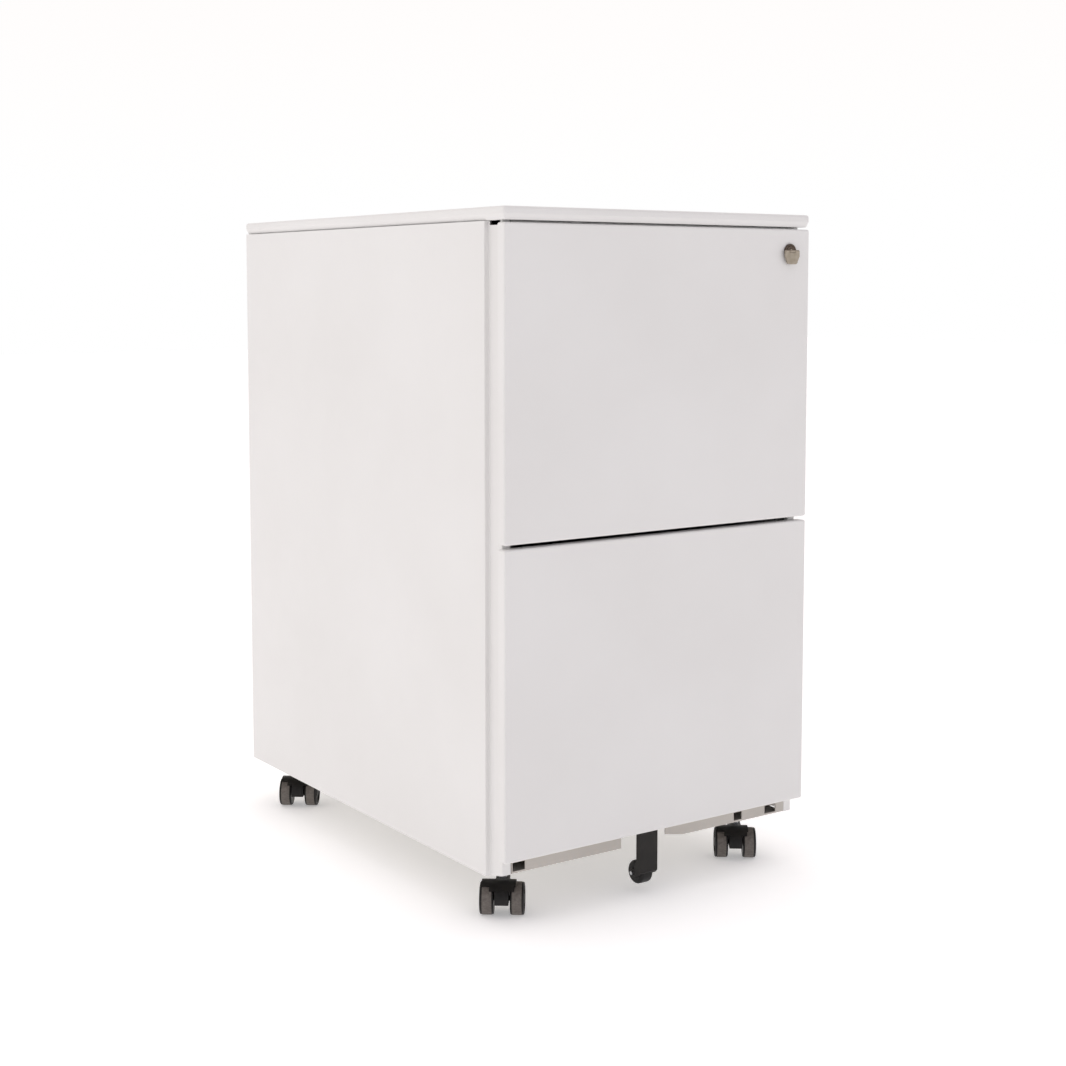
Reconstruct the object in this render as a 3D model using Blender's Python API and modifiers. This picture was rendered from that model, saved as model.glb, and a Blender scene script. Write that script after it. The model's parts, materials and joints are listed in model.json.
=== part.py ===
"""Mobile steel filing pedestal: two file drawers, a gang lock, four swivel casters and an anti-tip wheel.

Metres, +Z up. The cabinet faces -Y, +X is its right-hand side as a person faces it, and Z = 0 is the
ground. The origin lies under the middle of the whole object's box, folded key included.
"""

from math import cos, pi, radians, sin

import bmesh
import bpy
from mathutils import Vector

# ---- driving dimensions -------------------------------------------------------------------------
CABINET_WIDTH = 0.380
CABINET_DEPTH = 0.545
CABINET_HEIGHT = 0.685
BODY_BOTTOM = 0.0547
SIDE_BOTTOM = 0.0497
GAP = 0.0003
SEAM = 0.0005
LAP = 0.0002
SHEET = 0.0008
PAN_SHEET = 0.001

# front plane and back plane, set so that the origin is the middle of the box with the folded key
KEY_PROUD = 0.0048
FRONT_Y = KEY_PROUD - (CABINET_DEPTH + KEY_PROUD) / 2
BACK_Y = FRONT_Y + CABINET_DEPTH

# top panel: a folded pan whose edge drops, slopes in and returns
TOP_EDGE_HEIGHT = 0.0126
TOP_EDGE_FACE = 0.007
TOP_EDGE_SLOPE_IN = 0.0025
TOP_RETURN = 0.012
TOP_UNDERSIDE = CABINET_HEIGHT - TOP_EDGE_HEIGHT

# side panels, with the finger groove beside the drawer fronts and the jamb behind them
SIDE_X = CABINET_WIDTH / 2 - SEAM
GROOVE_START = 0.0335
GROOVE_DEPTH = 0.005
JAMB_SETBACK = 0.012
JAMB_X = 0.1745
JAMB_RETURN = 0.005
SIDE_BACK_FLANGE = 0.0195
SIDE_TOP = TOP_UNDERSIDE - GAP
LAND_WINDOW = 0.0065

# bottom pan, whose front rim is the plinth
PLINTH_HEIGHT = 0.0150
PLINTH_HALF = JAMB_X - SEAM
BOTTOM_HALF = SIDE_X - SHEET - SEAM
CORNER_ROOM = 0.0015
PLINTH_SLOTS = ((-0.173, -0.1585), (0.1046, 0.1157), (0.1475, 0.163))
SLOT_BOTTOM = BODY_BOTTOM + 0.0022
SLOT_TOP = BODY_BOTTOM + 0.0107
NOTCH_LEFT = -0.043
NOTCH_RIGHT = 0.038
NOTCH_SHOULDER = (0.0130, 0.0048)
NOTCH_DEPTH = 0.060

# back panel and top rail
BACK_RIM = 0.010
BACK_RECESS = 0.0011
TOP_RAIL_BOTTOM = TOP_UNDERSIDE - 0.0147
TOP_RAIL_DEPTH = 0.018
TOP_RAIL_LIP = 0.008

# drawer fronts
FRONT_HALF = SIDE_X
FRONT_BOTTOM = 0.0701
FRONT_GAP = 0.0042
FRONT_HEIGHT = 0.2979
FRONT_THICKNESS = 0.0112
LINER_FACE = FRONT_THICKNESS - LAP
LINER_RIM = 0.008

# drawer boxes
TUB_HALF = 0.160
TUB_HEIGHT = 0.250
TUB_FRONT = FRONT_THICKNESS + SEAM
TUB_LENGTH = 0.480
HANGING_RAIL_IN = 0.009
HANGING_RAIL_LIP = 0.008
DRAWER_BACK_RIM = 0.010

# telescopic slides, three members each
SLIDE_LENGTH = 0.480
SLIDE_START = 0.036
SLIDE_CENTRE = 0.120
SLIDE_SHEET = 0.0012
CABINET_MEMBER = (0.1727, 0.0102, 0.0225)
MIDDLE_MEMBER = (0.1699, 0.0070, 0.0195)
DRAWER_MEMBER = (TUB_HALF + GAP, 0.0070, 0.0165)
UPRIGHT_WIDTH = 0.030
UPRIGHT_FOOT = 0.010
FRONT_UPRIGHT = 0.060
REAR_UPRIGHT = 0.450

# lock, in the upper drawer front
LOCK_X = 0.1618
LOCK_Z = CABINET_HEIGHT - 0.0376
BARREL_RADIUS = 0.0070
BEZEL_RADIUS = 0.0078
BEZEL_PROUD = 0.0022
BEZEL_EDGE = 0.0004
BARREL_LENGTH = 0.017
PLUG_RADIUS = 0.0055
PLUG_BORE = 0.0058
PLUG_PROUD = BEZEL_PROUD + LAP
TAIL_RADIUS = 0.003
CAM_BACK = 0.020
CAM_THICKNESS = 0.002
CAM_REACH = 0.0205
CAM_HALF = 0.0045
CAM_HEAD = 0.0060
NUT_THICKNESS = 0.003
NUT_WALL = 0.0025
BLADE_HALF = 0.0010
BLADE_RISE = 0.0026
BLADE_END = 0.0138
KEYWAY_SLACK = 0.0003
BOW_THICKNESS = 0.0018
KEY_HINGE_OUT = KEY_PROUD - BOW_THICKNESS / 2
NECK_HALF = 0.0035
NECK_RISE = 0.0011
NECK_FACE = PLUG_PROUD + 0.0004
BOW_TOP_WIDTH = 0.0196
BOW_FOOT_WIDTH = 0.0146
BOW_HEIGHT = 0.0142
BOW_RISE = 0.0011
BOW_SHOULDER = 0.0008
BOW_STRAIGHT = 0.0062
BOW_CORNER = 0.003
BOW_NOTCH = 0.0022

# lock bar and the lower drawer's catch
BAR_X = (0.176, 0.1824)
BAR_Y = (0.023, 0.0245)
BAR_BOTTOM = FRONT_BOTTOM + 0.206
BAR_TOP = LOCK_Z + 0.0028
LUG_X = (BAR_X[0] + 0.0004, BAR_X[1] - 0.0004)
LUG_Y = (0.018, BAR_Y[0] - GAP)
LUG_BOTTOM = LOCK_Z - 0.0025
LUG_HEIGHT = 0.003
TAB_REACH = 0.167
TAB_HEIGHT = 0.0045
GUIDE_HEIGHT = 0.012
GUIDE_SHEET = 0.0006
GUIDE_DEPTH = 0.001
GUIDE_LEVELS = (BAR_BOTTOM + 0.046, BAR_BOTTOM + 0.316)
CATCH_X = 0.169
CATCH_SHEET = 0.002
CATCH_HOOK_FOOT = 0.002
CATCH_ARM_FOOT = 0.0095
CATCH_ARM_TOP = 0.0175
CATCH_HOOK = (BAR_Y[1] + 0.0025, BAR_Y[1] + 0.0075)

# casters
STEM_X = 0.150
FRONT_STEM_Y = 0.063
BACK_STEM_Y = 0.497
CASTER_HEADING = radians(37)
WHEEL_RADIUS = 0.016
WHEEL_WIDTH = 0.014
WHEEL_GAP = 0.016
CASTER_TRAIL = 0.012
AXLE_RADIUS = 0.0025
AXLE_BORE = 0.0028
AXLE_ENGAGED = 0.0098
BORE_DEPTH = 0.0119
STEM_RADIUS = 0.004
STEM_BORE = 0.0043
STEM_BORE_HALF = 0.011
STEM_FOOT = 0.0235
STEM_TIP = 0.0006
STEM_FLANGE_RADIUS = 0.014
STEM_FLANGE = 0.002
TREAD_EDGE = 0.0015
HUB_SHARE = 0.6
HUB_DISH = 0.001
HOOD_TOP = 0.033
HOOD_BLOCK_HALF = 0.0068
HOOD_BLOCK_BACK = (0.0085, 0.0225)
HOOD_BLOCK_FOOT = ((-0.0178, 0.0138), (-0.002, 0.0138))
HOOD_NOSE = (100, 185)
HOOD_COVER_LEFT = 0.020
HOOD_COVER_RIGHT = 0.0135
HOOD_COVER_ARC = (40, 123)
HOOD_TAB_HALF = 0.0122
HOOD_TAB_ARC = (40, 141)
COVER_INNER = WHEEL_RADIUS + 0.0008
COVER_OUTER = WHEEL_RADIUS + 0.0022

# anti-tip wheel, carried by the lower drawer
TIP_X = -0.0052
TIP_FACE = 0.015
TIP_HALF = 0.0109
TIP_SHEET = 0.0014
TIP_CHEEK = 0.0072
TIP_FOOT = 0.0205
TIP_SHOULDER = 0.036
TIP_EAR = 0.0048
TIP_FLANGE_LENGTH = 0.030
TIP_FLANGE_SHEET = 0.0025
TIP_WHEEL_RADIUS = 0.012
TIP_WHEEL_HALF = 0.008
TIP_WHEEL_EDGE = 0.0022
TIP_WHEEL_CLEARANCE = 0.0083
TIP_AXLE_SETBACK = 0.0290
TIP_AXLE_RADIUS = 0.0020
TIP_AXLE_END = 0.0015

ROUND_STEPS = 24
WHEEL_STEPS = 28


# ---- scene and materials ------------------------------------------------------------------------
def clear_scene():
    for obj in list(bpy.data.objects):
        bpy.data.objects.remove(obj, do_unlink=True)


def new_collection(name):
    collection = bpy.data.collections.new(name)
    bpy.context.scene.collection.children.link(collection)
    return collection


def make_material(name, colour, roughness, metallic):
    material = bpy.data.materials.new(name)
    material.use_nodes = True
    shader = material.node_tree.nodes["Principled BSDF"]
    shader.inputs["Base Color"].default_value = (*colour, 1.0)
    shader.inputs["Roughness"].default_value = roughness
    shader.inputs["Metallic"].default_value = metallic
    return material


clear_scene()
PARTS = new_collection("mobile_filing_pedestal")
TOOLS = new_collection("cutters")

WHITE_PAINT = make_material("white_powder_coat", (0.82, 0.81, 0.80), 0.45, 0.0)
ZINC = make_material("zinc_plated_steel", (0.62, 0.63, 0.65), 0.32, 1.0)
CHROME = make_material("nickel_chrome", (0.72, 0.69, 0.64), 0.15, 1.0)
BLACK_PLASTIC = make_material("black_nylon", (0.015, 0.014, 0.013), 0.45, 0.0)
GREY_TREAD = make_material("grey_tread", (0.075, 0.068, 0.062), 0.55, 0.0)
BLACK_STEEL = make_material("black_painted_steel", (0.012, 0.012, 0.012), 0.5, 0.0)


# ---- shape helpers ------------------------------------------------------------------------------
def add_part(name, data, material, location=(0, 0, 0), rotation=(0, 0, 0), parent=None):
    """Puts a mesh in the pedestal's collection as one named part."""
    obj = bpy.data.objects.new(name, data)
    PARTS.objects.link(obj)
    if not data.materials:
        data.materials.append(material)
    obj.location = location
    obj.rotation_euler = rotation
    obj.parent = parent
    return obj


def add_empty(name, location, rotation=(0, 0, 0), parent=None):
    empty = bpy.data.objects.new(name, None)
    PARTS.objects.link(empty)
    empty.location = location
    empty.rotation_euler = rotation
    empty.parent = parent
    return empty


def mesh_from(bm, name):
    bmesh.ops.recalc_face_normals(bm, faces=bm.faces)
    data = bpy.data.meshes.new(name)
    bm.to_mesh(data)
    bm.free()
    return data


def box_mesh(name, low, high):
    """A block between two opposite corners."""
    low, high = Vector(low), Vector(high)
    bm = bmesh.new()
    bmesh.ops.create_cube(bm, size=1.0)
    bmesh.ops.scale(bm, vec=high - low, verts=bm.verts)
    bmesh.ops.translate(bm, vec=(high + low) / 2, verts=bm.verts)
    return mesh_from(bm, name)


def rod_mesh(name, radius, length, steps=ROUND_STEPS):
    """A cylinder along Z, centred on the origin."""
    bm = bmesh.new()
    bmesh.ops.create_cone(bm, cap_ends=True, segments=steps, radius1=radius, radius2=radius, depth=length)
    return mesh_from(bm, name)


def solidify(obj, thickness, offset=-1.0):
    shell = obj.modifiers.new("sheet", "SOLIDIFY")
    shell.thickness = thickness
    shell.offset = offset
    shell.use_even_offset = True
    return obj


def folded_mesh(name, line, length):
    """A folded strip: an open line of (x, y) points drawn out along +Z, with no thickness yet."""
    bm = bmesh.new()
    points = [bm.verts.new((x, y, 0.0)) for x, y in line]
    edges = [bm.edges.new(pair) for pair in zip(points, points[1:])]
    drawn = bmesh.ops.extrude_edge_only(bm, edges=edges)
    moved = [item for item in drawn["geom"] if isinstance(item, bmesh.types.BMVert)]
    bmesh.ops.translate(bm, vec=(0, 0, length), verts=moved)
    data = bpy.data.meshes.new(name)
    bm.to_mesh(data)
    bm.free()
    return data


def pan_mesh(name, width, length, folds):
    """A pan with no thickness yet: a flat face in XY whose rim is folded once for each (inward, rise)."""
    bm = bmesh.new()
    bmesh.ops.create_grid(bm, x_segments=1, y_segments=1, size=0.5)
    bmesh.ops.scale(bm, vec=(width, length, 1.0), verts=bm.verts)
    half_x, half_y = width / 2, length / 2
    for inward, rise in folds:
        rim = [edge for edge in bm.edges if edge.is_boundary]
        drawn = bmesh.ops.extrude_edge_only(bm, edges=rim)
        moved = [item for item in drawn["geom"] if isinstance(item, bmesh.types.BMVert)]
        bmesh.ops.translate(bm, vec=(0, 0, rise), verts=moved)
        scale = ((half_x - inward) / half_x, (half_y - inward) / half_y, 1.0)
        bmesh.ops.scale(bm, vec=scale, verts=moved)
        half_x, half_y = half_x - inward, half_y - inward
    return mesh_from(bm, name)


def arc(centre, radius, start, end, steps):
    """Points on a circle from one angle to another, both in degrees and both included."""
    angles = [radians(start + (end - start) * step / steps) for step in range(steps + 1)]
    return [(centre[0] + radius * cos(a), centre[1] + radius * sin(a)) for a in angles]


def outline_mesh(name, points, thickness):
    """A flat closed outline in XY, filled and given its thickness along Z, as a welded mesh."""
    curve = bpy.data.curves.new(name, "CURVE")
    curve.dimensions = "2D"
    curve.fill_mode = "BOTH"
    curve.extrude = thickness / 2
    spline = curve.splines.new("POLY")
    spline.points.add(len(points) - 1)
    for point, (x, y) in zip(spline.points, points):
        point.co = (x, y, 0.0, 1.0)
    spline.use_cyclic_u = True
    guide = bpy.data.objects.new(name, curve)
    TOOLS.objects.link(guide)
    evaluated = guide.evaluated_get(bpy.context.evaluated_depsgraph_get())
    data = bpy.data.meshes.new_from_object(evaluated)
    bpy.data.objects.remove(guide)
    bm = bmesh.new()
    bm.from_mesh(data)
    bmesh.ops.remove_doubles(bm, verts=bm.verts, dist=1e-6)
    return mesh_from(bm, name)


def turned_mesh(name, profile, closed=False):
    """The (radius, height) line of a turned piece, for a Screw modifier."""
    bm = bmesh.new()
    points = [bm.verts.new((radius, 0.0, height)) for radius, height in profile]
    pairs = list(zip(points, points[1:]))
    if closed:
        pairs.append((points[-1], points[0]))
    for pair in pairs:
        bm.edges.new(pair)
    data = bpy.data.meshes.new(name)
    bm.to_mesh(data)
    bm.free()
    return data


def turn(obj, steps=ROUND_STEPS):
    screw = obj.modifiers.new("turned", "SCREW")
    screw.steps = steps
    screw.render_steps = steps
    screw.use_merge_vertices = True
    screw.merge_threshold = 0.00001
    screw.use_smooth_shade = True
    return obj


def tool(data, location=(0, 0, 0), rotation=(0, 0, 0), parent=None):
    """A hidden shape that cuts or extends a part."""
    obj = bpy.data.objects.new(data.name, data)
    TOOLS.objects.link(obj)
    obj.location = location
    obj.rotation_euler = rotation
    obj.parent = parent
    obj.hide_render = True
    obj.display_type = "WIRE"
    return obj


def boolean(obj, operation, *tools):
    for shape in tools:
        modifier = obj.modifiers.new(operation.lower(), "BOOLEAN")
        modifier.operation = operation
        modifier.solver = "EXACT"
        modifier.object = shape
    return obj


# rotations that lay a flat drawing into the object: XZ drawn towards -Y, and YZ drawn towards +X
UPRIGHT_XZ = (pi / 2, 0, 0)
UPRIGHT_YZ = (pi / 2, 0, pi / 2)
FACE_FORWARD = (-pi / 2, 0, 0)


def depth_y(distance):
    """World Y of a plane that lies this far behind the drawer fronts' face."""
    return FRONT_Y + distance


def mirrored(side, points):
    """The points of a drawing with X multiplied by the side, so that +1 is the right-hand piece."""
    return [(side * x, y) for x, y in points]


# ---- carcass ------------------------------------------------------------------------------------
def build_top_panel():
    slope = TOP_EDGE_HEIGHT - TOP_EDGE_FACE
    folds = ((0.0, -TOP_EDGE_FACE), (TOP_EDGE_SLOPE_IN, -slope), (TOP_RETURN, 0.0))
    data = pan_mesh("top_panel", CABINET_WIDTH, CABINET_DEPTH, folds)
    middle = (0, (FRONT_Y + BACK_Y) / 2, CABINET_HEIGHT)
    solidify(add_part("top_panel", data, WHITE_PAINT, middle), PAN_SHEET)


def build_side_panel(name, side):
    line = (
        (SIDE_X - SIDE_BACK_FLANGE, CABINET_DEPTH),
        (SIDE_X, CABINET_DEPTH),
        (SIDE_X, GROOVE_START),
        (SIDE_X - GROOVE_DEPTH, GROOVE_START - SEAM),
        (SIDE_X - GROOVE_DEPTH, JAMB_SETBACK),
        (JAMB_X, JAMB_SETBACK),
        (JAMB_X, JAMB_SETBACK + JAMB_RETURN),
    )
    data = folded_mesh(name, mirrored(side, line), SIDE_TOP - SIDE_BOTTOM)
    panel = add_part(name, data, WHITE_PAINT, (0, FRONT_Y, SIDE_BOTTOM))
    solidify(panel, SHEET, -side)
    relief = outline_mesh("relief", (
        (JAMB_SETBACK + SHEET, BODY_BOTTOM),
        (-JAMB_SETBACK, BODY_BOTTOM),
        (-JAMB_SETBACK, SIDE_BOTTOM - PAN_SHEET),
        (GROOVE_START, SIDE_BOTTOM - PAN_SHEET),
        (GROOVE_START, SIDE_BOTTOM),
    ), 2 * GROOVE_DEPTH + 2 * JAMB_SETBACK)
    boolean(panel, "DIFFERENCE", tool(relief, (side * SIDE_X, FRONT_Y, 0), UPRIGHT_YZ))
    land = side * (SIDE_X - GROOVE_DEPTH)
    window = box_mesh(
        "land_window",
        (land - 2 * SHEET, depth_y(JAMB_SETBACK + 2 * SHEET), SIDE_TOP - LAND_WINDOW),
        (land + 2 * SHEET, depth_y(GROOVE_START - 2 * SHEET), SIDE_TOP + SHEET),
    )
    boolean(panel, "DIFFERENCE", tool(window))


def build_bottom_panel():
    back = CABINET_DEPTH - SHEET - BACK_RECESS
    length = back - JAMB_SETBACK
    data = pan_mesh("bottom_panel", 2 * BOTTOM_HALF, length, ((0.0, PLINTH_HEIGHT),))
    middle = (0, depth_y(JAMB_SETBACK + length / 2), BODY_BOTTOM)
    panel = solidify(add_part("bottom_panel", data, WHITE_PAINT, middle), PAN_SHEET)
    low, high = BODY_BOTTOM - PAN_SHEET, BODY_BOTTOM + PLINTH_HEIGHT + PAN_SHEET
    front = depth_y(JAMB_SETBACK) - PAN_SHEET
    for side in (-1, 1):
        inner, outer = sorted((side * PLINTH_HALF, side * CABINET_WIDTH / 2))
        corner_end = depth_y(GROOVE_START + CORNER_ROOM)
        corner = box_mesh("corner_cut", (inner, front, low), (outer, corner_end, high))
        boolean(panel, "DIFFERENCE", tool(corner))
    notch = box_mesh(
        "floor_notch",
        (NOTCH_LEFT, depth_y(JAMB_SETBACK + PAN_SHEET), low),
        (NOTCH_RIGHT, depth_y(NOTCH_DEPTH), high),
    )
    shoulder_x, shoulder_rise = NOTCH_SHOULDER
    mouth = outline_mesh("plinth_notch", (
        (NOTCH_LEFT, low),
        (NOTCH_RIGHT, low),
        (NOTCH_RIGHT, BODY_BOTTOM),
        (shoulder_x, BODY_BOTTOM + shoulder_rise),
        (shoulder_x, high),
        (NOTCH_LEFT, high),
    ), 4 * PAN_SHEET)
    boolean(panel, "DIFFERENCE", tool(notch), tool(mouth, (0, depth_y(JAMB_SETBACK), 0), UPRIGHT_XZ))
    for left, right in PLINTH_SLOTS:
        slot = box_mesh(
            "slot_cut", (left, front, SLOT_BOTTOM), (right, depth_y(JAMB_SETBACK + 2 * PAN_SHEET), SLOT_TOP)
        )
        boolean(panel, "DIFFERENCE", tool(slot))


def build_back_panel():
    half = SIDE_X - SHEET - 2 * SEAM
    bottom = BODY_BOTTOM + LAP
    height = SIDE_TOP - bottom
    data = pan_mesh("back_panel", 2 * half, height, ((0.0, BACK_RIM),))
    place = (0, BACK_Y - BACK_RECESS, bottom + height / 2)
    panel = solidify(add_part("back_panel", data, WHITE_PAINT, place, (pi / 2, 0, 0)), SHEET)
    pan_back = BACK_Y - SHEET - BACK_RECESS
    room = box_mesh(
        "back_cut",
        (-CABINET_WIDTH / 2, pan_back - BACK_RIM, BODY_BOTTOM - PAN_SHEET),
        (CABINET_WIDTH / 2, pan_back + GAP, BODY_BOTTOM + PLINTH_HEIGHT + PAN_SHEET),
    )
    boolean(panel, "DIFFERENCE", tool(room))


def build_top_rail():
    line = (
        (JAMB_SETBACK + TOP_RAIL_DEPTH, SIDE_TOP),
        (JAMB_SETBACK, SIDE_TOP),
        (JAMB_SETBACK, TOP_RAIL_BOTTOM),
        (JAMB_SETBACK + TOP_RAIL_LIP, TOP_RAIL_BOTTOM),
    )
    data = folded_mesh("top_rail", line, 2 * PLINTH_HALF)
    rail = add_part("top_rail", data, WHITE_PAINT, (-PLINTH_HALF, FRONT_Y, 0), UPRIGHT_YZ)
    solidify(rail, PAN_SHEET, 1.0)


def build_upright(name, side, middle):
    """A hat-section post between a side panel and the slides."""
    wall = SIDE_X - SHEET - GAP
    face = CABINET_MEMBER[0] + GAP + PAN_SHEET
    half = UPRIGHT_WIDTH / 2
    line = (
        (wall, middle - half - UPRIGHT_FOOT),
        (wall, middle - half),
        (face, middle - half),
        (face, middle + half),
        (wall, middle + half),
        (wall, middle + half + UPRIGHT_FOOT),
    )
    bottom = BODY_BOTTOM + PLINTH_HEIGHT + 2 * SEAM
    data = folded_mesh(name, mirrored(side, line), SIDE_TOP - bottom)
    solidify(add_part(name, data, WHITE_PAINT, (0, FRONT_Y, bottom)), PAN_SHEET, side)


def build_carcass():
    build_top_panel()
    for label, side in (("left", -1), ("right", 1)):
        build_side_panel(f"{label}_side_panel", side)
        build_upright(f"{label}_front_upright", side, FRONT_UPRIGHT)
        build_upright(f"{label}_rear_upright", side, REAR_UPRIGHT)
    build_bottom_panel()
    build_back_panel()
    build_top_rail()


# ---- slides -------------------------------------------------------------------------------------
def build_slide_member(name, side, section, opens, level, parent):
    """One C-section of a telescopic slide: (web position, flange width, half height) and its open side."""
    web, flange, half = section
    tip = web + opens * flange
    line = ((tip, -half), (web, -half), (web, half), (tip, half))
    data = folded_mesh(name, mirrored(side, line), SLIDE_LENGTH)
    back = depth_y(SLIDE_START + SLIDE_LENGTH)
    member = add_part(name, data, ZINC, (0, back - parent.location.y, level), UPRIGHT_XZ, parent)
    solidify(member, SLIDE_SHEET, -side * opens)


def build_slides(floor_name, bottom, drawer, middle, cabinet):
    level = bottom + SLIDE_CENTRE
    for label, side in (("left", -1), ("right", 1)):
        stem = f"{floor_name}_{label}"
        build_slide_member(f"{stem}_cabinet_member", side, CABINET_MEMBER, -1, level, cabinet)
        build_slide_member(f"{stem}_middle_member", side, MIDDLE_MEMBER, -1, level, middle)
        build_slide_member(f"{stem}_drawer_member", side, DRAWER_MEMBER, 1, level, drawer)


# ---- drawers ------------------------------------------------------------------------------------
def lock_hole(parent):
    return tool(
        rod_mesh("lock_hole", BARREL_RADIUS + GAP, 4 * FRONT_THICKNESS),
        (LOCK_X, depth_y(0) - parent.location.y, LOCK_Z),
        UPRIGHT_XZ,
        parent,
    )


def build_drawer_front(prefix, bottom, parent):
    """The outer skin, open behind, and the liner that closes it. Both are pans."""
    at_y = FRONT_Y - parent.location.y
    middle = bottom + FRONT_HEIGHT / 2
    skin_data = pan_mesh(f"{prefix}_front", 2 * FRONT_HALF, FRONT_HEIGHT, ((0.0, FRONT_THICKNESS),))
    skin = add_part(f"{prefix}_front", skin_data, WHITE_PAINT, (0, at_y, middle), FACE_FORWARD, parent)
    solidify(skin, PAN_SHEET)
    inset = 2 * (PAN_SHEET + GAP)
    liner_data = pan_mesh(
        f"{prefix}_liner", 2 * FRONT_HALF - inset, FRONT_HEIGHT - inset, ((0.0, -LINER_RIM),)
    )
    place = (0, at_y + LINER_FACE, middle)
    liner = add_part(f"{prefix}_liner", liner_data, WHITE_PAINT, place, FACE_FORWARD, parent)
    solidify(liner, SHEET)
    return skin, liner


def build_drawer_box(prefix, bottom, parent):
    """The U-shaped tub, whose top edges are the hanging-file rails, and its back wall."""
    top = bottom + TUB_HEIGHT
    rail = TUB_HALF - HANGING_RAIL_IN
    right = ((TUB_HALF, bottom), (TUB_HALF, top), (rail, top), (rail, top + HANGING_RAIL_LIP))
    line = mirrored(-1, reversed(right)) + list(right)
    data = folded_mesh(f"{prefix}_tub", line, TUB_LENGTH)
    back = depth_y(TUB_FRONT + TUB_LENGTH) - parent.location.y
    tub = add_part(f"{prefix}_tub", data, WHITE_PAINT, (0, back, 0), UPRIGHT_XZ, parent)
    solidify(tub, SHEET, 1.0)
    floor = bottom + SHEET + GAP
    height = top - SHEET - GAP - floor
    width = 2 * (TUB_HALF - SHEET - GAP)
    wall_data = pan_mesh(f"{prefix}_tub_back", width, height, ((0.0, DRAWER_BACK_RIM),))
    place = (0, back - GAP, floor + height / 2)
    wall = add_part(f"{prefix}_tub_back", wall_data, WHITE_PAINT, place, (pi / 2, 0, 0), parent)
    solidify(wall, SHEET)


def build_drawers():
    cabinet = add_empty("cabinet_datum", (0, FRONT_Y, 0))
    for prefix, row in (("lower", 0), ("upper", 1)):
        bottom = FRONT_BOTTOM + row * (FRONT_HEIGHT + FRONT_GAP)
        drawer = add_empty(f"{prefix}_drawer_datum", (0, FRONT_Y, 0))
        middle = add_empty(f"{prefix}_middle_datum", (0, FRONT_Y, 0))
        skin, liner = build_drawer_front(f"{prefix}_drawer", bottom, drawer)
        build_drawer_box(f"{prefix}_drawer", bottom + LAP, drawer)
        build_slides(prefix, bottom, drawer, middle, cabinet)
        if prefix == "upper":
            boolean(skin, "DIFFERENCE", lock_hole(drawer))
            boolean(liner, "DIFFERENCE", lock_hole(drawer))
            build_lock(drawer)
        else:
            build_catch(drawer)
            build_tip_wheel(drawer)


# ---- lock ---------------------------------------------------------------------------------------
def build_lock(drawer):
    """The lock's frame has +Z pointing forwards out of the drawer front, along the key."""
    lock = add_empty("lock_datum", (LOCK_X, 0, LOCK_Z), UPRIGHT_XZ, drawer)
    barrel = (
        (PLUG_BORE, BEZEL_PROUD),
        (BEZEL_RADIUS - BEZEL_EDGE, BEZEL_PROUD),
        (BEZEL_RADIUS, BEZEL_PROUD - BEZEL_EDGE),
        (BEZEL_RADIUS, GAP),
        (BARREL_RADIUS, GAP),
        (BARREL_RADIUS, -BARREL_LENGTH),
        (PLUG_BORE, -BARREL_LENGTH),
    )
    turn(add_part("lock_barrel", turned_mesh("lock_barrel", barrel, True), CHROME, parent=lock))
    build_lock_nut(lock)
    cylinder = add_empty("lock_cylinder_datum", (0, 0, 0), parent=lock)
    build_plug(cylinder)
    build_cam(cylinder)
    build_key(cylinder)


def build_lock_nut(lock):
    bore = (BARREL_RADIUS + GAP) / cos(pi / 6)
    rim = bore + NUT_WALL
    top = -FRONT_THICKNESS - GAP
    ring = ((bore, top), (rim, top), (rim, top - NUT_THICKNESS), (bore, top - NUT_THICKNESS))
    turn(add_part("lock_nut", turned_mesh("lock_nut", ring, True), ZINC, parent=lock), 6)


def build_plug(cylinder):
    shoulder = GAP - BARREL_LENGTH - 2 * GAP
    tail_end = -CAM_BACK - CAM_THICKNESS
    line = (
        (0, PLUG_PROUD),
        (PLUG_RADIUS, PLUG_PROUD),
        (PLUG_RADIUS, shoulder),
        (TAIL_RADIUS, shoulder),
        (TAIL_RADIUS, tail_end),
        (0, tail_end),
    )
    plug = turn(add_part("lock_plug", turned_mesh("lock_plug", line), CHROME, parent=cylinder))
    half, rise = BLADE_HALF + KEYWAY_SLACK, BLADE_RISE + KEYWAY_SLACK
    keyway = box_mesh("keyway", (-half, -rise, -BLADE_END - KEYWAY_SLACK), (half, rise, 2 * PLUG_PROUD))
    boolean(plug, "DIFFERENCE", tool(keyway, parent=cylinder))


def build_cam(cylinder):
    """The cam hangs straight down when the drawers are free."""
    outline = arc((0, 0), CAM_HEAD, 0, 180, 8) + [(-CAM_HALF, -CAM_REACH), (CAM_HALF, -CAM_REACH)]
    data = outline_mesh("lock_cam", outline, CAM_THICKNESS)
    level = -CAM_BACK + CAM_THICKNESS / 2
    cam = add_part("lock_cam", data, ZINC, (0, 0, level), parent=cylinder)
    hole = rod_mesh("cam_hole", TAIL_RADIUS + GAP, 4 * CAM_THICKNESS)
    boolean(cam, "DIFFERENCE", tool(hole, (0, 0, level), parent=cylinder))


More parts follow.
